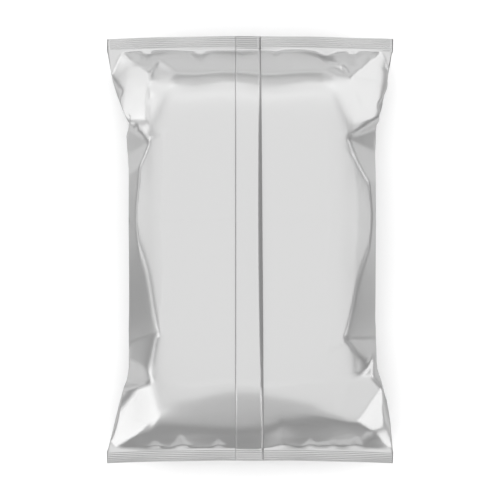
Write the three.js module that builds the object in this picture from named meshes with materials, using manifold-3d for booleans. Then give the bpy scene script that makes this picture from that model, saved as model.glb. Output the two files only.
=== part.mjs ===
// Pillow pouch of heat-sealed film, filled, shut and lying on its front with the back seam up.
// One web of film is wrapped round the contents, joined along the back by a fin seal that is
// folded flat, and closed at each end by a ribbed crimp, so the pouch is a single closed body.
// Millimetres, +Z up. The origin is the middle of the pouch's outline, on the table.

import * as THREE from "three";
import { LoftGeometry } from "three/addons/geometries/LoftGeometry.js";
import { mergeVertices } from "three/addons/utils/BufferGeometryUtils.js";
import Module from "manifold-3d";

// ---- Driving dimensions ----

const flatWidth = 200; // the film tube laid flat, and the length of each crimp
const crimpSpan = 279.5; // between the inner edges of the two crimps
const crimpHeight = 26.5; // plane of the crimps over the table
const crimpBow = 2; // how far the middle of a crimp lies along +Y of its ends

// Film between the crimps that is more than the span: most along the middle of the panel.
const spare = { middle: 17, side: 4.5, power: 2.4 };

// The contents hold the film out as a rounded block, a little nearer to the right side.
const contents = {
  shift: 1.6,
  halfWidth: 85.6,
  halfLength: 131,
  cornerReach: 4, // the block's corners stand that much further out
  rise: 28, // above the crimps' plane
  fall: 26.3, // and below it
  frontPower: 4.5, // how square the block's front end is
  backPower: 7, // and its back end
  taper: 16, // how much narrower each side is at the ends
  taperFrom: 80,
  taperPower: 1.5,
  crownPower: 2.6, // how full the upper half is
  bellyPower: 2, // and the lower one
  squareSum: 13, // the section is rounder below where it is squarer above
};

// How square the section's top is, from the lower crimp to the upper one.
const squareLeft = [[-90, 7], [-30, 7], [10, 9], [70, 9], [95, 7]];
const squareRight = [[-90, 7], [-40, 7], [20, 6.5], [60, 7]];

// At each corner the empty film stands out as a flat ear. Its edge runs from the notch where
// the filled part begins to the crimp, as pairs of y and x.
const ears = [
  { side: -1, end: 1, edge: [[88, 83.6], [98, 88.8], [108, 92.8], [118, 96], [139, 99.8]] },
  { side: 1, end: 1, edge: [[81, 85.6], [93, 89.5], [103, 92.5], [113, 94.8], [139, 99.6]] },
  { side: -1, end: -1, edge: [[82, 83], [90, 85.6], [95, 87.8], [110, 92], [140, 99.4]] },
  { side: 1, end: -1, edge: [[77, 86.4], [90, 90.6], [105, 95.4], [120, 98], [140, 99.8]] },
];

// Pockets, and the slopes towards the crimps, are pressed into the film. Each is bounded below
// by flat faces through three points, and its rims are rounded by about "soft".
const pockets = [
  {
    soft: 0.2,
    faces: [
      [[-70, 72.5, 52.5], [-86, 66, 36], [-83.3, 86, 38.5]],
      [[-70, 72.5, 52.5], [-86, 66, 36], [-77.5, 55, 52]],
      [[-70, 73.5, 52.5], [-84, 85, 38.5], [-78, 87, 52]],
    ],
  },
  {
    soft: 0.3,
    faces: [
      [[68, 78, 52.3], [88, 68, 34], [85.4, 85, 35]],
      [[68, 78, 52.3], [88, 68, 34], [81, 55, 48]],
      [[68, 79, 52.3], [86, 84, 35], [78, 89, 52]],
    ],
  },
  {
    soft: 0.8,
    faces: [
      [[-62, -58, 53.6], [-87, -60, 32], [-79, 24, 53.5]],
      [[-62, -58, 53.6], [-87, -66, 31], [-71, -80, 49]],
    ],
  },
  {
    soft: 0.2,
    faces: [
      [[-68.5, -93.4, 49.5], [-87, -92, 28], [-80, -78, 40]],
      [[-68.5, -93.4, 49.5], [-87, -92, 28], [-86, -99.5, 44]],
    ],
  },
  {
    soft: 0.3,
    faces: [
      [[63.8, -59, 53.5], [89, -62, 29], [86.5, -8, 44]],
      [[63.8, -59, 53.5], [89, -62, 29], [84, -84, 48]],
    ],
  },
  {
    soft: 0.6,
    faces: [
      [[0, -128, 37], [-60, -139.2, 26.9], [60, -139.2, 26.9]],
    ],
  },
  {
    soft: 1,
    faces: [
      [[0, -128, 37], [60, -128, 43], [0, -108, 47]],
      [[0, -128, 38], [-60, -128, 39.2], [0, -108, 48]],
    ],
  },
  {
    soft: 1,
    faces: [
      [[60, -90, 51.4], [80, -90, 49.6], [60, -110, 48.6]],
    ],
  },
  {
    soft: 1,
    faces: [
      [[-60, -90, 51.2], [-80, -90, 49.4], [-60, -110, 48.4]],
    ],
  },
  {
    soft: 1,
    faces: [
      [[-99.5, -139.5, 24.7], [-79.5, -139.5, 32.7], [-99.5, -119.5, 29.5]],
    ],
  },
  {
    soft: 1,
    faces: [
      [[-99.5, 139.5, 25], [-79.5, 139.5, 34], [-99.5, 119.5, 30]],
    ],
  },
  {
    soft: 1,
    faces: [
      [[-86, 112, 38], [-96, 112, 31], [-86, 102, 40.5]],
    ],
  },
  {
    soft: 1,
    faces: [
      [[99.5, 139.5, 25], [79.5, 139.5, 34], [99.5, 119.5, 30]],
    ],
  },
  {
    soft: 1,
    faces: [
      [[93.5, 125, 31.3], [84.5, 86, 45.1], [94.5, 86, 36.1]],
    ],
  },
  {
    soft: 1,
    faces: [
      [[22, -119, 43.1], [22, -136, 26.9], [38, -119, 47.6]],
      [[22, -119, 43.1], [22, -136, 26.9], [6, -119, 47.6]],
    ],
  },
  {
    soft: 0.8,
    faces: [
      [[98, -139, 27], [88, -139, 31.2], [98, -119, 35.4]],
    ],
  },
  {
    soft: 0.6,
    faces: [
      [[0, 123, 45.5], [60, 123, 45.5], [0, 139.2, 26.9]],
    ],
  },
  {
    soft: 0.6,
    faces: [
      [[0, 123, 45.5], [60, 123, 45.5], [0, 110, 51.5]],
    ],
  },
];

// Bolsters along the sides and in the ears, held out by the contents. The film is raised to
// them, and each is bounded above by its flat faces.
const bolsters = [
  {
    soft: 0.5,
    faces: [
      [[0, 123, 45.5], [60, 123, 45.5], [0, 139.2, 26.9]],
      [[0, 123, 45.5], [60, 123, 45.5], [0, 110, 51.5]],
      [[0, 114, 50], [60, 114, 50], [0, 106, 44]],
      [[-50, 123, 45.5], [-50, 110, 51.5], [-60, 123, 40.5]],
      [[50, 123, 45.5], [50, 110, 51.5], [60, 123, 40.5]],
    ],
  },
  {
    soft: 1,
    faces: [
      [[-99.5, 139.5, 25], [-79.5, 139.5, 34], [-99.5, 119.5, 30]],
      [[-86, 112, 38], [-96, 112, 31], [-86, 102, 40.5]],
      [[-60, 139.2, 26.9], [-90, 139.2, 26.9], [-80, 126, 38.1]],
      [[-70, 126, 40], [-70, 100, 47], [-60, 126, 30]],
      [[-84, 85, 40], [-70, 85, 48], [-84, 75, 30]],
    ],
  },
  {
    soft: 1,
    faces: [
      [[99.5, 139.5, 25], [79.5, 139.5, 34], [99.5, 119.5, 30]],
      [[93.5, 125, 31.3], [84.5, 86, 45.1], [94.5, 86, 36.1]],
      [[60, 139.2, 26.9], [90, 139.2, 26.9], [80, 126, 38.1]],
      [[70, 126, 40], [70, 100, 47], [60, 126, 30]],
      [[84, 85, 40], [70, 85, 48], [84, 75, 30]],
    ],
  },
  {
    soft: 0.3,
    faces: [
      [[-85.5, 20, 43], [-85.5, 60, 43], [-77, 20, 51.5]],
      [[-77, 20, 51.5], [-77, 60, 51.5], [-60, 20, 54]],
      [[-60, 20, 54.3], [-60, 60, 54.3], [-50, 20, 46]],
      [[-85, 66, 50], [-70, 74, 52.5], [-85, 62, 54]],
      [[-85, -58, 47], [-70, -58, 52], [-85, -52, 53]],
    ],
  },
  {
    soft: 0.3,
    faces: [
      [[87.5, 20, 44.5], [87.5, 60, 44.5], [83, 20, 49.5]],
      [[83, 20, 49.8], [83, 60, 49.8], [73, 20, 51.9]],
      [[73, 20, 51.9], [73, 60, 51.9], [62, 20, 53.3]],
      [[62, 20, 53.3], [62, 60, 53.3], [52, 20, 54]],
      [[54, 20, 54.3], [54, 60, 54.3], [44, 20, 46]],
      [[84, 60, 47], [72, 66, 52], [84, 54, 53]],
      [[84, -56, 47], [72, -60, 51], [84, -48, 55]],
    ],
  },
  {
    soft: 0.8,
    faces: [
      [[-99.5, -139.5, 24.7], [-79.5, -139.5, 32.7], [-99.5, -119.5, 29.5]],
      [[0, -128, 37], [-60, -139.2, 26.9], [60, -139.2, 26.9]],
      [[0, -128, 37], [60, -128, 37], [0, -106, 49.5]],
      [[-64, -115, 45.5], [-64, -100, 51], [-56, -115, 39]],
      [[-84, -100, 38], [-70, -100, 46], [-84, -92, 30]],
    ],
  },
  {
    soft: 0.6,
    faces: [
      [[0, -128, 37], [-60, -139.2, 26.9], [60, -139.2, 26.9]],
      [[0, -85, 53], [60, -85, 53], [0, -105, 51]],
      [[60, -90, 51.4], [80, -90, 49.6], [60, -110, 48.6]],
      [[-60, -90, 51.2], [-80, -90, 49.4], [-60, -110, 48.4]],
      [[0, -92, 52], [60, -92, 52], [0, -84, 46]],
      [[-64, -120, 44], [-64, -106, 50], [-74, -120, 36]],
      [[64, -120, 46], [64, -106, 50], [74, -120, 38]],
    ],
  },
  {
    soft: 1,
    faces: [
      [[60, -90, 51.4], [80, -90, 49.6], [60, -110, 48.6]],
      [[58, -110, 49], [58, -90, 52], [48, -110, 42]],
      [[98, -139, 27], [88, -139, 31.2], [98, -119, 35.4]],
      [[98, -139, 27], [88, -139, 37], [98, -119, 33.7]],
      [[0, -128, 37], [-60, -139.2, 26.9], [60, -139.2, 26.9]],
      [[75, -86, 48.5], [60, -86, 50], [75, -78, 42.5]],
    ],
  },
];

const bolsterFade = 6; // over the crimps' plane, where a bolster begins
const pocketReach = 20; // how far past the pouch's middle a pocket may run
const rest = { depth: 0.5, fade: 5 }; // film this near the table is laid flat on it

// The end crimps are ribbed across the pouch, and wave a little along their length.
const crimp = { depth: 8.7, ridges: 6, core: 0.9, ridge: 0.5, stations: 8 };
const crimpWave = { short: 0.35, shortLength: 46, long: 0.7, longLength: 118 };

// The fin seal lies on the back panel. Its free edge lifts along the middle of the pouch.
const fin = {
  fold: -9.8,
  edgeTop: 7.6,
  edgeBottom: 9.6,
  thick: 1.2,
  sunk: 0.5,
  lift: 2.6,
  liftHalf: 118,
  endGap: 0.3, // short of the pouch's ends
};

const filmColour = 0xdbdbdb;

// ---- Film grid ----
// The film is a grid of points: rows run round the pouch, from the left side over the back
// panel to the right side and home under the front panel, and the grid's rows follow +Y.

const coarse = { across: 18, along: 25 };
const refinements = 1;
const settling = [
  { steps: 90, sweeps: 12 },
  { steps: 70, sweeps: 14 },
];
const momentum = 0.8; // share of its motion that a point keeps from step to step
const slack = 0.5; // how weakly film resists being pushed together
const stiffness = 0.15; // resistance to a sharp fold
const yielding = 0.5; // share of a contact's overlap that is put right at a time
const opening = 22; // how quickly the first guess widens behind a crimp

function makeFilm(across, along) {
  const ring = 2 * across;
  return { across, along, ring, points: new Float64Array((along + 1) * ring * 3) };
}

function flatX(film, column) {
  const fromLeft = Math.min(column, film.ring - column);
  return flatWidth * (fromLeft / film.across - 0.5);
}

// Reads a table of pairs at a place, in a straight line between them.
function tableValue(table, place) {
  const next = table.findIndex(([at]) => at > place);
  if (next === -1) return table[table.length - 1][1];
  if (next === 0) return table[0][1];
  const [from, to] = [table[next - 1], table[next]];
  return THREE.MathUtils.mapLinear(place, from[0], to[0], from[1], to[1]);
}

function crimpShift(x) {
  return crimpBow * (0.5 - (2 * x / flatWidth) ** 2);
}

function crimpRise(x) {
  const { short, shortLength, long, longLength } = crimpWave;
  const turn = 2 * Math.PI;
  return short * Math.sin(turn * x / shortLength + 1) + long * Math.sin(turn * x / longLength + 2);
}

function crimpPoint(x, end) {
  return new THREE.Vector3(x, end * crimpSpan / 2 + crimpShift(x), crimpHeight + crimpRise(x));
}

function holdCrimps(film) {
  const { ring, along, points } = film;
  for (const [row, end] of [[0, -1], [along, 1]]) {
    for (let column = 0; column < ring; column++) {
      crimpPoint(flatX(film, column), end).toArray(points, 3 * (row * ring + column));
    }
  }
}

// Draws the fold at each side of the flat tube out to the edges of the ears.
function holdEars({ ring, across, along, points }) {
  for (const { side, end, edge } of ears) {
    const column = side < 0 ? 0 : across;
    for (let row = 1; row < along; row++) {
      const k = 3 * (row * ring + column);
      const out = end * points[k + 1];
      if (out < edge[0][0]) continue;
      points[k] += yielding * (side * tableValue(edge, out) - points[k]);
    }
  }
}

// The first guess: ellipses that widen quickly behind the crimps.
function startFilm({ across, along }) {
  const film = makeFilm(across, along);
  for (let row = 0; row <= along; row++) {
    const v = row / along;
    const open = 1 - Math.exp(-Math.min(v, 1 - v) * crimpSpan / opening);
    const halfWidth = flatWidth / 2 - (flatWidth / 2 - contents.halfWidth) * open;
    for (let column = 0; column < film.ring; column++) {
      const across01 = 2 * flatX(film, column) / flatWidth;
      const ply = column < across ? 1 : -1;
      const bulge = contents.rise * open * Math.sqrt(Math.max(0, 1 - across01 ** 2));
      const k = 3 * (row * film.ring + column);
      film.points[k] = across01 * halfWidth;
      film.points[k + 1] = (v - 0.5) * crimpSpan;
      film.points[k + 2] = crimpHeight + ply * bulge;
    }
  }
  holdCrimps(film);
  return film;
}

function between(a, b, c, d) {
  return (9 * (b + c) - a - d) / 16;
}

// A film with twice the rows and columns, through the points of the old one.
function refineFilm(old) {
  const film = makeFilm(2 * old.across, 2 * old.along);
  const get = (row, column, axis) => {
    const nearRow = Math.min(Math.max(row, 0), old.along);
    return old.points[3 * (nearRow * old.ring + (column + old.ring) % old.ring) + axis];
  };
  const alongRow = (row, column, axis) => {
    const c = column >> 1;
    if (column % 2 === 0) return get(row, c, axis);
    return between(get(row, c - 1, axis), get(row, c, axis), get(row, c + 1, axis), get(row, c + 2, axis));
  };
  for (let row = 0; row <= film.along; row++) {
    const r = row >> 1;
    const inside = r > 0 && r < old.along - 1;
    for (let column = 0; column < film.ring; column++) {
      for (let axis = 0; axis < 3; axis++) {
        const at = (nearby) => alongRow(nearby, column, axis);
        const middle = inside ? between(at(r - 1), at(r), at(r + 1), at(r + 2)) : (at(r) + at(r + 1)) / 2;
        film.points[3 * (row * film.ring + column) + axis] = row % 2 === 0 ? at(r) : middle;
      }
    }
  }
  return film;
}

// ---- Settling the film ----
// Film keeps its length, so each pair of neighbours is pulled back to the distance it has in
// the flat web. It gives way a little when pushed together, which is how the folds form.

// Keeps a point outside the contents and off the table.
function touch(points, k) {
  const { halfWidth, halfLength, cornerReach, rise, fall, taperFrom, frontPower, backPower } = contents;
  const sideways = points[k] - contents.shift;
  const out = Math.abs(points[k + 1]);
  const up = points[k + 2] - crimpHeight;
  const endShare = THREE.MathUtils.clamp((out - taperFrom) / (halfLength - taperFrom), 0, 1);
  const limit = halfWidth - contents.taper * endShare ** contents.taperPower;
  const reach = halfLength + cornerReach * (sideways / halfWidth) ** 2;
  const squareTop = tableValue(sideways < 0 ? squareLeft : squareRight, points[k + 1]);
  const square = up > 0 ? squareTop : contents.squareSum - squareTop;
  const full = up > 0 ? (up / rise) ** contents.crownPower : (-up / fall) ** contents.bellyPower;
  const endPower = points[k + 1] < 0 ? frontPower : backPower;
  const inside = (Math.abs(sideways) / limit) ** square + (out / reach) ** endPower + full;
  if (inside < 1) {
    const push = yielding * (inside ** (-1 / square) - 1);
    points[k] += push * sideways;
    points[k + 1] *= 1 + push / 3;
    points[k + 2] += push * up;
  }
  points[k + 2] = Math.max(points[k + 2], 0);
}

function pull(points, a, b, length, whenLong, whenShort) {
  const x = points[b] - points[a];
  const y = points[b + 1] - points[a + 1];
  const z = points[b + 2] - points[a + 2];
  const now = Math.hypot(x, y, z) + 1e-9;
  const strain = (now - length) / now;
  const move = 0.5 * strain * (strain > 0 ? whenLong : whenShort);
  points[a] += move * x;
  points[a + 1] += move * y;
  points[a + 2] += move * z;
  points[b] -= move * x;
  points[b + 1] -= move * y;
  points[b + 2] -= move * z;
}

function settleFilm(film, { steps, sweeps }) {
  const { ring, across, along, points } = film;
  const stepAcross = flatWidth / across;
  const index = (row, column) => 3 * (row * ring + (column + ring) % ring);
  const links = [];
  for (let column = 0; column < ring; column++) {
    const middleShare = 1 - Math.abs(2 * flatX(film, column) / flatWidth) ** spare.power;
    const length = crimpSpan + THREE.MathUtils.lerp(spare.side, spare.middle, middleShare);
    const stepAlong = length / along;
    const diagonal = Math.hypot(stepAcross, stepAlong);
    for (let row = 0; row <= along; row++) {
      const here = index(row, column);
      links.push([here, index(row, column + 1), stepAcross, 1, slack]);
      links.push([here, index(row, column + 2), 2 * stepAcross, 0, stiffness]);
      if (row < along) {
        links.push([here, index(row + 1, column), stepAlong, 1, slack]);
        links.push([here, index(row + 1, column + 1), diagonal, 0.8, slack / 2]);
        links.push([here, index(row + 1, column - 1), diagonal, 0.8, slack / 2]);
      }
      if (row < along - 1) links.push([here, index(row + 2, column), 2 * stepAlong, 0, stiffness]);
    }
  }
  const before = Float64Array.from(points);
  for (let step = 0; step < steps; step++) {
    for (let k = 0; k < points.length; k++) {
      const moved = points[k] - before[k];
      before[k] = points[k];
      points[k] += momentum * moved;
    }
    for (let sweep = 0; sweep < sweeps; sweep++) {
      for (const [a, b, length, whenLong, whenShort] of links) {
        pull(points, a, b, length, whenLong, whenShort);
      }
      for (let k = 3 * ring; k < points.length - 3 * ring; k += 3) touch(points, k);
      holdEars(film);
      holdCrimps(film);
    }
  }
}

// Height of the plane through three points, over x and y.
function faceHeight([a, b, c], x, y) {
  const [u, v] = [b, c].map((point) => point.map((value, axis) => value - a[axis]));
  const normal = new THREE.Vector3(...u).cross(new THREE.Vector3(...v));
  return a[2] - ((x - a[0]) * normal.x + (y - a[1]) * normal.y) / normal.z;
}

// Presses the back panel down to the faces of each pocket, on the pocket's own corner.
function pressPockets({ points }) {
  for (const { soft, faces } of pockets) {
    const [cornerX, cornerY] = faces[0][0];
    for (let k = 0; k < points.length; k += 3) {
      const [x, y, z] = points.subarray(k, k + 3);
      if (z <= crimpHeight || x * cornerX < 0 || y * Math.sign(cornerY) < -pocketReach) continue;
      const gap = z - Math.max(crimpHeight, ...faces.map((face) => faceHeight(face, x, y)));
      points[k + 2] = Math.max(crimpHeight, z - (gap + Math.hypot(gap, 2 * soft)) / 2);
    }
  }
}

// Raises the film to the lowest face of each bolster, on the bolster's own side.
function raiseBolsters({ points }) {
  for (const { soft, faces } of bolsters) {
    for (let k = 0; k < points.length; k += 3) {
      const [x, y, z] = points.subarray(k, k + 3);
      if (z <= crimpHeight || x * faces[0][0][0] < 0) continue;
      const gap = Math.min(...faces.map((face) => faceHeight(face, x, y))) - z;
      const share = Math.min(1, (z - crimpHeight) / bolsterFade);
      points[k + 2] += share * (gap + Math.hypot(gap, 2 * soft)) / 2;
    }
  }
}

// The underside lies flat on the table where the contents press it down.
function layFlat({ points }) {
  for (let k = 2; k < points.length; k += 3) {
    const share = THREE.MathUtils.clamp(1 - (points[k] - rest.depth) / rest.fade, 0, 1);
    points[k] -= Math.min(points[k], rest.depth * share);
  }
}

function fillFilm() {
  let film = startFilm(coarse);
  settleFilm(film, settling[0]);
  for (let level = 1; level <= refinements; level++) {
    film = refineFilm(film);
    settleFilm(film, settling[level]);
  }
  raiseBolsters(film);
  pressPockets(film);
  layFlat(film);
  return film;
}

// ---- Solids ----

function filmSections({ ring, along, points }) {
  const sections = [];
  for (let row = 0; row <= along; row++) {
    const section = [];
    for (let column = 0; column < ring; column++) {
      section.push(new THREE.Vector3().fromArray(points, 3 * (row * ring + column)));
    }
    sections.push(section);
  }
  return sections;
}

// A crimp is a slab whose two faces share their ridges, as one sealed double layer.
function crimpSections(end) {
  const sections = [];
  const rows = 2 * crimp.ridges;
  for (let station = 0; station <= crimp.stations; station++) {
    const x = flatWidth * (station / crimp.stations - 0.5);
    const root = crimpPoint(x, end);
    const back = [];
    const front = [];
    for (let row = 0; row <= rows; row++) {
      const y = root.y + end * (crimp.depth * row / rows - (row === 0 ? crimp.core : 0));
      const half = crimp.core / 2 + (row % 2 === 1 ? crimp.ridge : 0) / 2;
      back.push(new THREE.Vector3(x, y, root.z + half));
      front.unshift(new THREE.Vector3(x, y, root.z - half));
    }
    const outline = [...back, ...front];
    sections.push(end > 0 ? outline.reverse() : outline);
  }
  return sections;
}

// Height of the back panel under the fin, read between the rows and columns of the film.
function panelHeight(film, x, y) {
  const { ring, across, along, points } = film;
  const middle = across / 2;
  const read = (row, column, axis) => points[3 * (row * ring + column) + axis];
  let row = 0;
  while (row < along - 1 && read(row + 1, middle, 1) < y) row++;
  const share = (y - read(row, middle, 1)) / (read(row + 1, middle, 1) - read(row, middle, 1));
  const t = THREE.MathUtils.clamp(share, 0, 1);
  const heightIn = (r) => {
    let column = 0;
    while (column < across - 1 && read(r, column + 1, 0) < x) column++;
    const left = read(r, column, 0);
    const right = read(r, column + 1, 0);
    const s = (x - left) / (right - left);
    return THREE.MathUtils.lerp(read(r, column, 2), read(r, column + 1, 2), s);
  };
  return THREE.MathUtils.lerp(heightIn(row), heightIn(row + 1), t);
}

function finSections(film) {
  const middle = film.across / 2;
  const stations = [];
  for (let row = 0; row <= film.along; row++) {
    stations.push(film.points[3 * (row * film.ring + middle) + 1]);
  }
  const tip = crimpSpan / 2 + crimpShift(0) + crimp.depth - fin.endGap;
  stations.unshift(crimpShift(0) * 2 - tip);
  stations.push(tip);
  const shares = [0, 0.35, 0.7, 1];
  return stations.map((y) => {
    const along01 = (y + crimpSpan / 2) / crimpSpan;
    const edge = THREE.MathUtils.lerp(fin.edgeBottom, fin.edgeTop, THREE.MathUtils.clamp(along01, 0, 1));
    const hump = Math.cos(Math.PI / 2 * Math.min(Math.abs(y) / fin.liftHalf, 1)) ** 2;
    const over = [];
    const under = [];
    for (const share of shares) {
      const x = THREE.MathUtils.lerp(fin.fold, edge, share);
      const onCrimp = Math.abs(y) > crimpSpan / 2 + 1;
      const base = onCrimp ? crimpHeight + crimpRise(x) + crimp.core / 2 : panelHeight(film, x, y);
      const z = base + fin.lift * hump * share ** 2 - fin.sunk;
      over.push(new THREE.Vector3(x, y, z + fin.thick));
      under.unshift(new THREE.Vector3(x, y, z));
    }
    return [...over, ...under];
  });
}

// ---- Joining ----

const wasm = await Module();
wasm.setup();

function toSolid(geometry) {
  geometry.deleteAttribute("normal");
  geometry.deleteAttribute("uv");
  const merged = mergeVertices(new THREE.BufferGeometry().copy(geometry), 1e-4);
  return new wasm.Manifold(new wasm.Mesh({
    numProp: 3,
    vertProperties: new Float32Array(merged.attributes.position.array),
    triVerts: new Uint32Array(merged.index.array),
  }));
}

function toGeometry(solid) {
  const mesh = solid.getMesh();
  const geometry = new THREE.BufferGeometry();
  geometry.setAttribute("position", new THREE.BufferAttribute(mesh.vertProperties, 3));
  geometry.setIndex(new THREE.BufferAttribute(mesh.triVerts, 1));
  geometry.computeVertexNormals();
  return geometry;
}

const film = fillFilm();
const capped = { capStart: true, capEnd: true };
const pouchSolid = toSolid(new LoftGeometry(filmSections(film)))
  .add(toSolid(new LoftGeometry(crimpSections(1), capped)))
  .add(toSolid(new LoftGeometry(crimpSections(-1), capped)))
  .add(toSolid(new LoftGeometry(finSections(film), capped)));

const filmMaterial = new THREE.MeshStandardMaterial({ color: filmColour, roughness: 0.32, metalness: 0.4 });
const pouch = new THREE.Mesh(toGeometry(pouchSolid), filmMaterial);
pouch.name = "pouch";

const group = new THREE.Group();
group.add(pouch);
export default group;
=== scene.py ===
import math
import time

import bmesh
import bpy
import numpy as np
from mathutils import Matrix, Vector


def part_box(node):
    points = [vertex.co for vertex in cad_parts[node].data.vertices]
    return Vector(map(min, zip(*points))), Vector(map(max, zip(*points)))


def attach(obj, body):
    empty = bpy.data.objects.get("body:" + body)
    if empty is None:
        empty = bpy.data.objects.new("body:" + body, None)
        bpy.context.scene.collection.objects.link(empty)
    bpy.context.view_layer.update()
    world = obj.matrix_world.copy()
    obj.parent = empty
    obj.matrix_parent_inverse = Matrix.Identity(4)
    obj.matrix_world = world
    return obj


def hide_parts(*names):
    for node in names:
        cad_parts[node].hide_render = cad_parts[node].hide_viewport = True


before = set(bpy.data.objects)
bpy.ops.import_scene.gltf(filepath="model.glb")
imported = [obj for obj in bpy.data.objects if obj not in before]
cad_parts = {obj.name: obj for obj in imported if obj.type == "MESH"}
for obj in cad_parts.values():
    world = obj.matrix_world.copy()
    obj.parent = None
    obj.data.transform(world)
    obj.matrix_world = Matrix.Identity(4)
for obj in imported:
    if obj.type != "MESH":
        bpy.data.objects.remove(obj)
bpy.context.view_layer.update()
startTime = time.time()


def report(stage):
    print(f"{time.time() - startTime:6.1f} s  {stage}")


# Sizes of the pouch come from its CAD box: the crimps are as long as the box is wide.
low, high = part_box("pouch")
flatWidth = high.x - low.x  # the film tube laid flat
mm = 0.001
turn = 2 * math.pi

# The film is a flat tube drawn over the filling.
web = {
    "crimpDepth": 8.7 * mm,
    "crimpBow": 2.0 * mm,  # the middle of a crimp lies this far along +Y of its ends
    "crimpHeight": 26.5 * mm,
    "panelSpare": 17 * mm,  # film along the middle, more than the distance between the crimps
    "sideSpare": 4.5 * mm,  # and along the sides
    "sparePower": 2.4,  # how late it falls off between them
    "across": 18,  # cells over each ply, and along the pouch, before refining
    "along": 25,
}
web["crimpSpan"] = high.y - low.y - 2 * web["crimpDepth"] - web["crimpBow"]

# Rise and fall along a crimp, as waves: (height, length, phase).
crimpWaves = [(0.35 * mm, 46 * mm, 1), (0.7 * mm, 118 * mm, 2)]

filling = {
    "shift": 1.6 * mm,
    "halfWidth": 85.6 * mm,
    "halfLength": 131 * mm,
    "cornerReach": 4 * mm,  # more length than that at the corners
    "rise": 28 * mm,  # above the crimps' height
    "fall": 26.3 * mm,  # and below it
    "frontPower": 4.5,  # how square the ends are
    "backPower": 7,
    "taper": 16 * mm,  # narrower by this at the ends
    "taperFrom": 80 * mm,
    "taperPower": 1.5,
    "opening": 22 * mm,  # how fast the starting shape opens from the crimps
    "crownPower": 2.6,  # above
    "bellyPower": 2,  # and below
    # How square the filling's top is at each side, from the front crimp to the back one: (y, power).
    "squareLeft": [(-90 * mm, 7), (-30 * mm, 7), (10 * mm, 9), (70 * mm, 9), (95 * mm, 7)],
    "squareRight": [(-90 * mm, 7), (-40 * mm, 7), (20 * mm, 6.5), (60 * mm, 7)],
    "squareSum": 13,  # squarer below where it is rounder above, as the film round it is as long
}

# Edge of the flat ear at each corner, from the notch in the side outwards: (y, x) in mm.
ears = [
    {"side": -1, "end": 1, "edge": [(88, 83.6), (98, 88.8), (108, 92.8), (118, 96), (139, 99.8)]},
    {"side": 1, "end": 1, "edge": [(81, 85.6), (93, 89.5), (103, 92.5), (113, 94.8), (139, 99.6)]},
    {"side": -1, "end": -1, "edge": [(82, 83), (90, 85.6), (95, 87.8), (110, 92), (140, 99.4)]},
    {"side": 1, "end": -1, "edge": [(77, 86.4), (90, 90.6), (105, 95.4), (120, 98), (140, 99.8)]},
]

settling = {
    "levels": [(90, 14), (60, 16), (30, 14), (14, 12)],  # steps and sweeps at each fineness
    "momentum": 0.8,
    "relax": 0.85,
    "slack": 0.5,
    "stiffness": 0.15,
    "yielding": 0.5,
    "endwaysEase": 3,  # the filling pushes this many times less along the pouch
    "shear": 0.8,
}


def crimpShift(x):
    return web["crimpBow"] * (0.5 - (2 * x / flatWidth) ** 2)


def crimpRise(x):
    return sum(height * np.sin(turn * x / length + phase) for height, length, phase in crimpWaves)


def flatX(across):
    ring = 2 * across
    column = np.arange(ring)
    return flatWidth * (np.minimum(column, ring - column) / across - 0.5)


def plySides(across):
    ply = np.where(np.arange(2 * across) < across, 1, -1)
    ply[0] = ply[across] = 0  # the folds at the sides belong to both plies
    return ply


def holdCrimps(p):
    x = flatX(p.shape[1] // 2)
    for row, end in ((0, -1), (-1, 1)):
        p[row, :, 0] = x
        p[row, :, 1] = end * web["crimpSpan"] / 2 + crimpShift(x)
        p[row, :, 2] = web["crimpHeight"] + crimpRise(x)


def holdEars(p):
    across = p.shape[1] // 2
    for ear in ears:
        fold = p[1:-1, 0 if ear["side"] < 0 else across]
        out = ear["end"] * fold[:, 1]
        along, outline = zip(*ear["edge"])
        edge = np.interp(out, np.multiply(along, mm), np.multiply(outline, mm))
        held = out >= along[0] * mm
        fold[held, 0] += settling["yielding"] * (ear["side"] * edge - fold[:, 0])[held]


def squareness(y, side):
    places, powers = zip(*filling[side])
    return np.interp(y, places, powers)


def touch(p):
    x, y, z = p[..., 0], p[..., 1], p[..., 2]
    taperLength = filling["halfLength"] - filling["taperFrom"]
    endShare = np.clip((np.abs(y) - filling["taperFrom"]) / taperLength, 0, 1)
    limit = filling["halfWidth"] - filling["taper"] * endShare ** filling["taperPower"]
    sideways = x - filling["shift"]
    upwards = z - web["crimpHeight"]
    above = upwards > 0
    height = np.abs(upwards) / np.where(above, filling["rise"], filling["fall"])
    square = np.where(sideways < 0, squareness(y, "squareLeft"), squareness(y, "squareRight"))
    square = np.where(above, square, filling["squareSum"] - square)
    inside = (np.abs(sideways) / limit) ** square
    reach = filling["halfLength"] + filling["cornerReach"] * (sideways / filling["halfWidth"]) ** 2
    inside += (np.abs(y) / reach) ** np.where(y < 0, filling["frontPower"], filling["backPower"])
    inside += height ** np.where(above, filling["crownPower"], filling["bellyPower"])
    deep = inside < 1
    push = settling["yielding"] * (inside[deep] ** (-1 / square[deep]) - 1)
    x[deep] += push * sideways[deep]
    y[deep] *= 1 + push / settling["endwaysEase"]
    z[deep] += push * (z[deep] - web["crimpHeight"])
    np.maximum(z, 0, out=z)


def link(p, rows, columns, length, whenLong, whenShort):
    near = p[: len(p) - rows]
    gap = np.roll(p, -columns, axis=1)[rows:] - near
    now = np.sqrt((gap * gap).sum(axis=2))
    strain = 1 - length / now
    move = 0.5 * settling["relax"] * strain * np.where(strain > 0, whenLong, whenShort)
    gap *= move[..., None]
    near += gap
    p[rows:] -= np.roll(gap, columns, axis=1)


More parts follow.
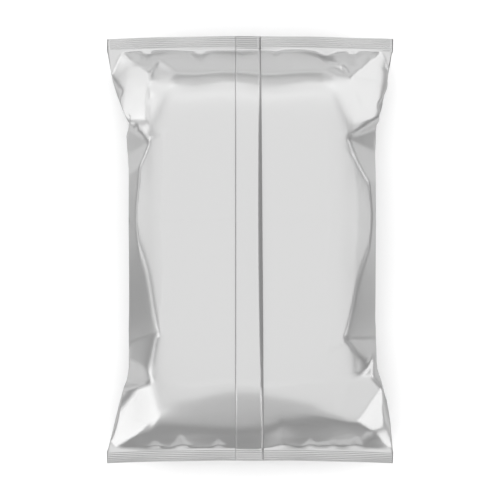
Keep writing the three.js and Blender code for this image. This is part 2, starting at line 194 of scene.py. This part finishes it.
def settle(p, steps, sweeps):
    rows, ring = p.shape[0] - 1, p.shape[1]
    stepAcross = 2 * flatWidth / ring
    middleShare = 1 - np.abs(2 * flatX(ring // 2) / flatWidth) ** web["sparePower"]
    spare = web["sideSpare"] + (web["panelSpare"] - web["sideSpare"]) * middleShare
    stepAlong = (web["crimpSpan"] + spare) / rows
    diagonal = np.hypot(stepAcross, stepAlong)
    slack, stiffness, shear = settling["slack"], settling["stiffness"], settling["shear"]
    before = p.copy()
    for _ in range(steps):
        moved = p - before
        before = p.copy()
        p += settling["momentum"] * moved
        for _ in range(sweeps):
            link(p, 0, 1, stepAcross, 1, slack)
            link(p, 1, 0, stepAlong, 1, slack)
            link(p, 1, 1, diagonal, shear, slack / 2)
            link(p, 1, -1, diagonal, shear, slack / 2)
            link(p, 0, 2, 2 * stepAcross, 0, stiffness)
            link(p, 2, 0, 2 * stepAlong, 0, stiffness)
            touch(p[1:-1])
            holdEars(p)
            holdCrimps(p)


def startFilm(across, along):
    p = np.zeros((along + 1, 2 * across, 3))
    v = np.linspace(0, 1, along + 1)[:, None]
    opening = 1 - np.exp(-np.minimum(v, 1 - v) * web["crimpSpan"] / filling["opening"])
    share = 2 * flatX(across)[None, :] / flatWidth
    ply = plySides(across)
    p[..., 0] = share * (flatWidth / 2 - (flatWidth / 2 - filling["halfWidth"]) * opening)
    p[..., 1] = (v - 0.5) * web["crimpSpan"]
    bulge = filling["rise"] * opening * np.sqrt(np.maximum(0, 1 - share ** 2))
    p[..., 2] = web["crimpHeight"] + ply * bulge
    holdCrimps(p)
    return p


# Halves the cells, with new points on the curve through the four nearest ones.
def refine(p):
    wide = np.empty((p.shape[0], 2 * p.shape[1], 3))
    wide[:, 0::2] = p
    wide[:, 1::2] = (9 * (p + np.roll(p, -1, 1)) - np.roll(p, 1, 1) - np.roll(p, -2, 1)) / 16
    fine = np.empty((2 * len(wide) - 1, wide.shape[1], 3))
    fine[0::2] = wide
    fine[1::2] = (wide[:-1] + wide[1:]) / 2
    fine[3:-3:2] = (9 * (wide[1:-2] + wide[2:-1]) - wide[:-3] - wide[3:]) / 16
    return fine


def settledFilm():
    levels = settling["levels"]
    p = startFilm(web["across"], web["along"])
    for level, (steps, sweeps) in enumerate(levels):
        if level:
            p = refine(p)
        settle(p, steps, sweeps)
        report(f"film settled at {p.shape[1]} by {p.shape[0]} points")
    return p


film = settledFilm()

ironing = {"passes": 30, "from": 88 * mm, "full": 100 * mm, "inner": 50 * mm, "outer": 66 * mm}


def ironEars(p):
    y = np.abs(p[1:-1, :, 1])
    x = np.abs(p[1:-1, :, 0])
    share = np.clip((y - ironing["from"]) / (ironing["full"] - ironing["from"]), 0, 1)
    share *= np.clip((x - ironing["inner"]) / (ironing["outer"] - ironing["inner"]), 0, 1)
    z = p[..., 2]
    for _ in range(ironing["passes"]):
        around = (np.roll(z, 1, 1) + np.roll(z, -1, 1))[1:-1] + z[2:] + z[:-2]
        z[1:-1] += 0.5 * share * (around / 4 - z[1:-1])


# Flat faces of the back panel, each given by three points (x, y, z) in mm.
facets = {
    "rearRamp": ((0, 123, 45.5), (60, 123, 45.5), (0, 139.2, 26.9)),
    "rearCrest": ((0, 123, 45.5), (60, 123, 45.5), (0, 110, 51.5)),
    "rearLeftEar": ((-99.5, 139.5, 25), (-79.5, 139.5, 34), (-99.5, 119.5, 30)),
    "rearLeftFlank": ((-86, 112, 38), (-96, 112, 31), (-86, 102, 40.5)),
    "rearRightEar": ((99.5, 139.5, 25), (79.5, 139.5, 34), (99.5, 119.5, 30)),
    "rearRightFlank": ((93.5, 125, 31.3), (84.5, 86, 45.1), (94.5, 86, 36.1)),
    "frontRamp": ((0, -128, 37), (-60, -139.2, 26.9), (60, -139.2, 26.9)),
    "frontLeftSlope": ((-60, -90, 51.2), (-80, -90, 49.4), (-60, -110, 48.4)),
    "frontRightSlope": ((60, -90, 51.4), (80, -90, 49.6), (60, -110, 48.6)),
    "frontLeftEar": ((-99.5, -139.5, 24.7), (-79.5, -139.5, 32.7), (-99.5, -119.5, 29.5)),
    "frontRightEar": ((98, -139, 27), (88, -139, 31.2), (98, -119, 35.4)),
}

# Pockets and slopes pressed into the back panel. The film is pressed down to the highest of an
# item's faces where it stands higher. "soft" rounds the rims.
pressed = [
    {"soft": 0.2, "faces": [  # rear left pocket
        ((-70, 72.5, 52.5), (-86, 66, 36), (-83.3, 86, 38.5)),
        ((-70, 72.5, 52.5), (-86, 66, 36), (-77.5, 55, 52)),
        ((-70, 73.5, 52.5), (-84, 85, 38.5), (-78, 87, 52)),
    ]},
    {"soft": 0.3, "faces": [  # rear right pocket
        ((68, 78, 52.3), (88, 68, 34), (85.4, 85, 35)),
        ((68, 78, 52.3), (88, 68, 34), (81, 55, 48)),
        ((68, 79, 52.3), (86, 84, 35), (78, 89, 52)),
    ]},
    {"soft": 0.8, "faces": [  # front left pocket and flank
        ((-62, -58, 53.6), (-87, -60, 32), (-79, 24, 53.5)),
        ((-62, -58, 53.6), (-87, -66, 31), (-71, -80, 49)),
    ]},
    {"soft": 0.2, "faces": [  # notch beside the front left ear
        ((-68.5, -93.4, 49.5), (-87, -92, 28), (-80, -78, 40)),
        ((-68.5, -93.4, 49.5), (-87, -92, 28), (-86, -99.5, 44)),
    ]},
    {"soft": 0.3, "faces": [  # front right pocket and flank
        ((63.8, -59, 53.5), (89, -62, 29), (86.5, -8, 44)),
        ((63.8, -59, 53.5), (89, -62, 29), (84, -84, 48)),
    ]},
    {"soft": 0.6, "faces": [facets["frontRamp"]]},
    {"soft": 1, "faces": [  # arched front slope
        ((0, -128, 37), (60, -128, 43), (0, -108, 47)),
        ((0, -128, 38), (-60, -128, 39.2), (0, -108, 48)),
    ]},
    {"soft": 1, "faces": [facets["frontRightSlope"]]},
    {"soft": 1, "faces": [facets["frontLeftSlope"]]},
    {"soft": 1, "faces": [facets["frontLeftEar"]]},
    {"soft": 1, "faces": [facets["rearLeftEar"]]},
    {"soft": 1, "faces": [facets["rearLeftFlank"]]},
    {"soft": 1, "faces": [facets["rearRightEar"]]},
    {"soft": 1, "faces": [facets["rearRightFlank"]]},
    {"soft": 1, "faces": [  # hump beside the fin seal
        ((22, -119, 43.1), (22, -136, 26.9), (38, -119, 47.6)),
        ((22, -119, 43.1), (22, -136, 26.9), (6, -119, 47.6)),
    ]},
    {"soft": 0.8, "faces": [facets["frontRightEar"]]},
    {"soft": 0.6, "faces": [facets["rearRamp"]]},
    {"soft": 0.6, "faces": [facets["rearCrest"]]},
]

# Parts that the filling holds out further: the rear crest, the ears, the sides and the front
# slopes. The film is raised to the lowest of an item's faces, and the last ones end it.
raised = [
    {"soft": 0.5, "faces": [  # rear crest
        facets["rearRamp"],
        facets["rearCrest"],
        ((0, 114, 50), (60, 114, 50), (0, 106, 44)),
        ((-50, 123, 45.5), (-50, 110, 51.5), (-60, 123, 40.5)),
        ((50, 123, 45.5), (50, 110, 51.5), (60, 123, 40.5)),
    ]},
    {"soft": 1, "faces": [  # rear left ear
        facets["rearLeftEar"],
        facets["rearLeftFlank"],
        ((-60, 139.2, 26.9), (-90, 139.2, 26.9), (-80, 126, 38.1)),
        ((-70, 126, 40), (-70, 100, 47), (-60, 126, 30)),
        ((-84, 85, 40), (-70, 85, 48), (-84, 75, 30)),
    ]},
    {"soft": 1, "faces": [  # rear right ear
        facets["rearRightEar"],
        facets["rearRightFlank"],
        ((60, 139.2, 26.9), (90, 139.2, 26.9), (80, 126, 38.1)),
        ((70, 126, 40), (70, 100, 47), (60, 126, 30)),
        ((84, 85, 40), (70, 85, 48), (84, 75, 30)),
    ]},
    {"soft": 0.3, "faces": [  # left side
        ((-85.5, 20, 43), (-85.5, 60, 43), (-77, 20, 51.5)),
        ((-77, 20, 51.5), (-77, 60, 51.5), (-60, 20, 54)),
        ((-60, 20, 54.3), (-60, 60, 54.3), (-50, 20, 46)),
        ((-85, 66, 50), (-70, 74, 52.5), (-85, 62, 54)),
        ((-85, -58, 47), (-70, -58, 52), (-85, -52, 53)),
    ]},
    {"soft": 0.3, "faces": [  # right side
        ((87.5, 20, 44.5), (87.5, 60, 44.5), (83, 20, 49.5)),
        ((83, 20, 49.8), (83, 60, 49.8), (73, 20, 51.9)),
        ((73, 20, 51.9), (73, 60, 51.9), (62, 20, 53.3)),
        ((62, 20, 53.3), (62, 60, 53.3), (52, 20, 54)),
        ((54, 20, 54.3), (54, 60, 54.3), (44, 20, 46)),
        ((84, 60, 47), (72, 66, 52), (84, 54, 53)),
        ((84, -56, 47), (72, -60, 51), (84, -48, 55)),
    ]},
    {"soft": 0.8, "faces": [  # front left ear
        facets["frontLeftEar"],
        facets["frontRamp"],
        ((0, -128, 37), (60, -128, 37), (0, -106, 49.5)),
        ((-64, -115, 45.5), (-64, -100, 51), (-56, -115, 39)),
        ((-84, -100, 38), (-70, -100, 46), (-84, -92, 30)),
    ]},
    {"soft": 0.6, "faces": [  # front slope
        facets["frontRamp"],
        ((0, -85, 53), (60, -85, 53), (0, -105, 51)),
        facets["frontRightSlope"],
        facets["frontLeftSlope"],
        ((0, -92, 52), (60, -92, 52), (0, -84, 46)),
        ((-64, -120, 44), (-64, -106, 50), (-74, -120, 36)),
        ((64, -120, 46), (64, -106, 50), (74, -120, 38)),
    ]},
    {"soft": 1, "faces": [  # front right ear
        facets["frontRightSlope"],
        ((58, -110, 49), (58, -90, 52), (48, -110, 42)),
        facets["frontRightEar"],
        ((98, -139, 27), (88, -139, 37), (98, -119, 33.7)),
        facets["frontRamp"],
        ((75, -86, 48.5), (60, -86, 50), (75, -78, 42.5)),
    ]},
]


def faceHeight(x, y, a, b, c):
    across = (b - a).cross(c - a)
    return a.z - ((x - a.x) * across.x + (y - a.y) * across.y) / across.z


def faceHeights(x, y, faces):
    return [faceHeight(x, y, *(Vector(point) * mm for point in face)) for face in faces]


# Real creases aren't straight, so the faces are read at places that wander a little.
wander = {
    "sideways": 0.016,  # share of the distance from the middle
    "sidewaysLength": 75 * mm,
    "from": 23 * mm,
    "endways": 1.2 * mm,
    "endwaysLength": 55 * mm,
    "fade": 20 * mm,  # towards the crimps
}


def wandered(p):
    x, y = p[..., 0], p[..., 1]
    bulge = wander["sideways"] * np.cos(turn * (y - wander["from"]) / wander["sidewaysLength"])
    fade = np.clip((web["crimpSpan"] / 2 - np.abs(y)) / wander["fade"], 0, 1)
    return x * (1 - bulge), y + fade * wander["endways"] * np.sin(turn * x / wander["endwaysLength"])


pastMiddle = 20 * mm  # a face presses its own half of the pouch, and this much of the other
raiseFade = 6 * mm  # over the crimps' height


def pressFaces(p):
    z = p[..., 2]
    x, y = wandered(p)
    for item in pressed:
        floor = np.maximum(np.max(faceHeights(x, y, item["faces"]), axis=0), web["crimpHeight"])
        gap = z - floor
        press = (gap + np.hypot(gap, 2 * item["soft"] * mm)) / 2
        sideways, endways, _ = item["faces"][0][0]
        near = (z > web["crimpHeight"]) & (x * sideways >= 0)
        near &= y * endways > -pastMiddle * abs(endways)
        z[near] = np.maximum(z - press, web["crimpHeight"])[near]


def raiseFaces(p):
    z = p[..., 2]
    x, y = wandered(p)
    for item in raised:
        gap = np.min(faceHeights(x, y, item["faces"]), axis=0) - z
        lift = (gap + np.hypot(gap, 2 * item["soft"] * mm)) / 2
        share = np.clip((z - web["crimpHeight"]) / raiseFade, 0, 1)
        near = x * item["faces"][0][0][0] >= 0
        z[near] += (share * lift)[near]


crimp = {
    "ridges": 6,
    "rowsPerRidge": 6,
    "core": 0.95 * mm,  # thickness of the ridges
    "ridge": 0.72 * mm,  # less than that in the grooves
    "groovePower": 4,  # narrow grooves between wide ridges
    "margin": 0.9 * mm,  # left unsealed beside the film
    "fade": 8 * mm,  # of the crimp's thickness into the film
    "curl": 1.1 * mm,  # rise and fall of the outer edge along the crimp
    "curlLength": 58 * mm,
    "curlPhase": 2,
    "droop": {1: 0.1 * mm, -1: 3.8 * mm},  # of the outer edge, at the back and the front crimp
}
rest = {"depth": 0.5 * mm, "fade": 5 * mm}  # film this near the table is laid flat on it

# Puckers where the film leaves a crimp: V-shaped dips, each given by its end, its place along
# the crimp, its width, its length and its depth, in mm.
puckers = [
    (1, -72, 14, 9, 2.2), (1, -35, 20, 13, 3), (1, -6, 12, 7, 1.2), (1, 18, 12, 8, 1.8),
    (1, 53, 18, 13, 3), (1, 72, 14, 10, 2.6), (1, 86, 9, 7, 1.6),
    (-1, -66, 16, 8, 1.6), (-1, -48, 18, 12, 2.4), (-1, -22, 14, 8, 1.8),
    (-1, 42, 16, 9, 2), (-1, 58, 14, 8, 1.6), (-1, 74, 18, 11, 2.4),
]


def puckerFilm(p):
    x, y, z = p[..., 0], p[..., 1], p[..., 2]
    lip = web["crimpHeight"] + crimpRise(x) + crimp["core"] / 2
    for end, place, width, length, depth in puckers:
        away = web["crimpSpan"] / 2 + end * (crimpShift(x) - y)
        share = 1 - 2 * np.abs(x / mm - place) / width - away / mm / length
        dip = depth * mm * np.maximum(0, share)
        near = (end * y > 0) & (z > web["crimpHeight"])
        z[near] = np.maximum(z - dip, np.minimum(z, lip))[near]


# The underside lies flat on the table where the filling presses it down.
def layFlat(p):
    z = p[..., 2]
    share = 1 - (z - rest["depth"]) / rest["fade"]
    z -= np.minimum(z, rest["depth"] * np.clip(share, 0, 1))


# Thickness of the sealed plies at the root of each crimp, fading out into the film.
def openRoots(p):
    ply = plySides(p.shape[1] // 2)
    away = web["crimpSpan"] / 2 - np.abs(p[..., 1] - crimpShift(p[..., 0]))
    p[..., 2] += ply * crimp["core"] / 2 * np.clip(1 - away / crimp["fade"], 0, 1)


ironEars(film)
raiseFaces(film)
pressFaces(film)
puckerFilm(film)
layFlat(film)
openRoots(film)


def crimpRows(end):
    across = film.shape[1] // 2
    x = flatX(across)
    ply = plySides(across)
    count = crimp["ridges"] * crimp["rowsPerRidge"]
    curl = crimp["curl"] * np.sin(turn * x / crimp["curlLength"] + crimp["curlPhase"] + end)
    ribbed = web["crimpDepth"] - crimp["margin"]
    rows = []
    for step in range(count + 1):
        share = step / count
        groove = math.sin(math.pi * share * crimp["ridges"]) ** crimp["groovePower"]
        half = 0.5 * (crimp["core"] - crimp["ridge"] * groove)
        if step == count:
            half = 0
        out = crimp["margin"] + ribbed * share
        row = np.empty((2 * across, 3))
        row[:, 0] = x
        row[:, 1] = end * (web["crimpSpan"] / 2 + out) + crimpShift(x)
        lean = (curl - crimp["droop"][end]) * (out / web["crimpDepth"]) ** 2
        row[:, 2] = web["crimpHeight"] + crimpRise(x) + lean + ply * half
        rows.append(row)
    return np.array(rows)


def addPiece(bm, name, smooth=True):
    for face in bm.faces:
        face.smooth = smooth
    mesh = bpy.data.meshes.new(name)
    bm.to_mesh(mesh)
    bm.free()
    piece = bpy.data.objects.new(name, mesh)
    bpy.context.scene.collection.objects.link(piece)
    return piece


def makeFilm():
    rows = np.concatenate([crimpRows(-1)[::-1], film, crimpRows(1)])
    along, ring = rows.shape[0] - 1, rows.shape[1]
    bm = bmesh.new()
    bm.loops.layers.uv.new("web")
    bmesh.ops.create_grid(bm, x_segments=ring, y_segments=along, size=1, calc_uvs=True)
    closed = np.concatenate([rows, rows[:, :1]], axis=1).reshape(-1, 3)
    for vert, place in zip(bm.verts, closed):
        vert.co = place
    bmesh.ops.remove_doubles(bm, verts=bm.verts[:], dist=1e-6)
    bmesh.ops.recalc_face_normals(bm, faces=bm.faces[:])
    return addPiece(bm, "pouchFilm"), rows


pouchFilm, filmRows = makeFilm()
report(f"film has {len(pouchFilm.data.polygons)} faces")

# The fin seal is folded flat on the back panel.
finSeal = {
    "fold": -9.8 * mm,
    "edgeTop": 7.6 * mm,
    "edgeBottom": 9.6 * mm,
    "thick": 0.45 * mm,
    "lift": 1.7 * mm,  # of the free edge, along the middle of the pouch
    "liftHalf": 128 * mm,
    "liftPower": 1.3,  # how late it rises between the fold and the free edge
    # Section at the fold, from the panel up over the folded film: (x, height) in mm.
    "foldSection": [(-0.4, -0.1), (-0.1, 0.75), (0.15, 1.05), (0.5, 1.15), (1.4, 1.2)],
    "flatHeight": 1.2 * mm,
    "columns": 8,  # over the flat part
    "rollSlope": 0.7,  # of the free edge, which rolls down to the panel
    "rollDrop": (1.1 * mm, 2.1 * mm),  # at the ends and at the middle
    "rollStart": (0.08, 0.04),  # shares of its width and drop over which it turns down
    "endRows": 2,  # of the crimps' ends, left uncovered
    "sharpAngle": 1.2,
}


def finSection(width, hump):
    endDrop, middleDrop = finSeal["rollDrop"]
    drop = endDrop + (middleDrop - endDrop) * hump
    flat = width - drop / finSeal["rollSlope"]
    section = [(x * mm, height * mm) for x, height in finSeal["foldSection"]]
    start = section[-1][0]
    for column in range(1, finSeal["columns"] + 1):
        x = start + (flat - start) * column / finSeal["columns"]
        lift = finSeal["lift"] * hump * (x / flat) ** finSeal["liftPower"]
        section.append((x, finSeal["flatHeight"] + lift))
    edge = section[-1][1]
    widthShare, dropShare = finSeal["rollStart"]
    section.append((flat + widthShare * (width - flat), edge - dropShare * drop))
    section.append((width, edge - drop))
    return section


def makeFin():
    across = filmRows.shape[1] // 2
    top = filmRows[finSeal["endRows"] : -finSeal["endRows"], : across + 1]
    bm = bmesh.new()
    columns = len(finSection(1, 0))
    bmesh.ops.create_grid(bm, x_segments=columns - 1, y_segments=len(top) - 1, size=1)
    places = []
    for row in top:
        y = np.interp(0, row[:, 0], row[:, 1])
        along = np.clip(y / web["crimpSpan"] + 0.5, 0, 1)
        edge = finSeal["edgeBottom"] + (finSeal["edgeTop"] - finSeal["edgeBottom"]) * along
        hump = math.cos(math.pi / 2 * min(abs(y) / finSeal["liftHalf"], 1))
        for away, height in finSection(edge - finSeal["fold"], hump):
            x = finSeal["fold"] + away
            z = np.interp(x, row[:, 0], row[:, 2]) + height
            places.append((x, np.interp(x, row[:, 0], row[:, 1]), z))
    for vert, place in zip(bm.verts, places):
        vert.co = place
    bmesh.ops.solidify(bm, geom=bm.faces[:], thickness=finSeal["thick"])
    bmesh.ops.recalc_face_normals(bm, faces=bm.faces[:])
    piece = addPiece(bm, "finSeal")
    piece.data.set_sharp_from_angle(angle=finSeal["sharpAngle"])
    return piece


fin = makeFin()
report("fin seal laid on the back panel")


class Value:
    def __init__(self, tree, socket):
        self.tree = tree
        self.socket = socket

    def math(self, operation, other):
        return self.tree.node("ShaderNodeMath", {"operation": operation}, {0: self, 1: other})

    def __add__(self, other):
        return self.math("ADD", other)

    __radd__ = __add__

    def __mul__(self, other):
        return self.math("MULTIPLY", other)

    __rmul__ = __mul__


class Tree:
    def __init__(self, name):
        self.material = bpy.data.materials.new(name)
        self.material.use_nodes = True
        self.nodes = self.material.node_tree.nodes
        self.nodes.clear()

    def node(self, kind, settings=None, sockets=None, output=0):
        made = self.nodes.new(kind)
        for name, value in (settings or {}).items():
            setattr(made, name, value)
        for name, value in (sockets or {}).items():
            if isinstance(value, Value):
                self.material.node_tree.links.new(value.socket, made.inputs[name])
            else:
                made.inputs[name].default_value = value
        return Value(self, made.outputs[output]) if made.outputs else None


filmFinish = {
    "colour": (0.44, 0.44, 0.44, 1),
    "metallic": 0.65,
    "roughness": 0.29,
    "roughnessRange": 0.04,
    "ior": 1.35,
    "specularTint": (0.3, 0.3, 0.3, 1),
    "softScale": 45.0,  # of the noise in the relief
    "fineScale": 900.0,
    "fineShare": 0.02,
    "noiseDetail": 2.0,
    "bumpDistance": 0.0004,
    "bumpStrength": 0.6,
}


def makeFilmMaterial():
    tree = Tree("silverFilm")
    place = tree.node("ShaderNodeTexCoord", output=3)
    soft, fine = (
        tree.node("ShaderNodeTexNoise", {}, {
            "Vector": place,
            "Scale": filmFinish[scale],
            "Detail": filmFinish["noiseDetail"],
        })
        for scale in ("softScale", "fineScale")
    )
    bump = tree.node("ShaderNodeBump", {}, {
        "Height": soft + fine * filmFinish["fineShare"],
        "Distance": filmFinish["bumpDistance"],
        "Strength": filmFinish["bumpStrength"],
    })
    spread = filmFinish["roughnessRange"]
    rough = fine * spread + (filmFinish["roughness"] - spread / 2)
    shader = tree.node("ShaderNodeBsdfPrincipled", {}, {
        "Base Color": filmFinish["colour"],
        "Metallic": filmFinish["metallic"],
        "Roughness": rough,
        "IOR": filmFinish["ior"],
        "Specular Tint": filmFinish["specularTint"],
        "Normal": bump,
    })
    tree.node("ShaderNodeOutputMaterial", {}, {"Surface": shader})
    return tree.material


filmMaterial = makeFilmMaterial()
for piece in (pouchFilm, fin):
    piece.data.materials.append(filmMaterial)
    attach(piece, "root")
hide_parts("pouch")
report("finish made")

studio = {
    "floor": 3.0,
    "floorColour": (0.9, 0.9, 0.9, 1),
    "floorRoughness": 0.9,
    "field": 0.3495,  # width of the view at the crimps' height
    "distance": 1.6,
    "sensor": 36,
    "world": 0.08,
    "aim": (0, 0, 0.03),  # of all the lights
    # (name, place, size, power)
    "lights": [
        ("topLight", (0, 0, 1.7), (2.2, 2.1), 23.5),
        ("backLeftLight", (-0.9, 0.8, 0.66), (1, 0.8), 5.04),
        ("backRightLight", (0.9, 0.8, 0.66), (1, 0.8), 5.6),
        ("frontLeftLight", (-0.9, -0.8, 0.66), (1, 0.8), 7),
        ("frontRightLight", (0.9, -0.8, 0.66), (1, 0.8), 6.44),
        ("leftLight", (-0.95, 0.1, 0.62), (1, 0.4), 1.6),
        ("rightLight", (0.95, 0.1, 0.62), (1, 0.4), 0.3),
        ("lowBackLight", (0, 1.25, 0.28), (1.5, 0.4), 2.6),
        ("frontLight", (0, -1.1, 0.95), (1.4, 0.9), 3),
        ("backLight", (0, 1.05, 1.15), (1.4, 0.7), 5.5),
    ],
}


def makeFloor():
    bm = bmesh.new()
    bmesh.ops.create_grid(bm, x_segments=1, y_segments=1, size=studio["floor"] / 2)
    floor = addPiece(bm, "floor", smooth=False)
    tree = Tree("paleFloor")
    shader = tree.node("ShaderNodeBsdfPrincipled", {}, {
        "Base Color": studio["floorColour"],
        "Roughness": studio["floorRoughness"],
    })
    tree.node("ShaderNodeOutputMaterial", {}, {"Surface": shader})
    floor.data.materials.append(tree.material)


def makeLight(name, place, size, power):
    lamp = bpy.data.lights.new(name, "AREA")
    lamp.shape = "RECTANGLE"
    lamp.size, lamp.size_y = size
    lamp.energy = power
    light = bpy.data.objects.new(name, lamp)
    light.location = place
    light.rotation_mode = "QUATERNION"
    light.rotation_quaternion = (Vector(studio["aim"]) - Vector(place)).to_track_quat("-Z", "Y")
    bpy.context.scene.collection.objects.link(light)


def makeCamera():
    lens = bpy.data.cameras.new("camera")
    lens.sensor_width = studio["sensor"]
    lens.lens = studio["sensor"] * studio["distance"] / studio["field"]
    camera = bpy.data.objects.new("camera", lens)
    camera.location = (0, 0, studio["distance"] + web["crimpHeight"])
    bpy.context.scene.collection.objects.link(camera)
    bpy.context.scene.camera = camera


def makeWorld():
    world = bpy.data.worlds.new("studio")
    world.use_nodes = True
    background = world.node_tree.nodes["Background"]
    background.inputs["Color"].default_value = (1, 1, 1, 1)
    background.inputs["Strength"].default_value = studio["world"]
    bpy.context.scene.world = world


makeFloor()
for light in studio["lights"]:
    makeLight(*light)
makeCamera()
makeWorld()
bpy.context.scene.view_settings.view_transform = "Standard"
report("studio set up")
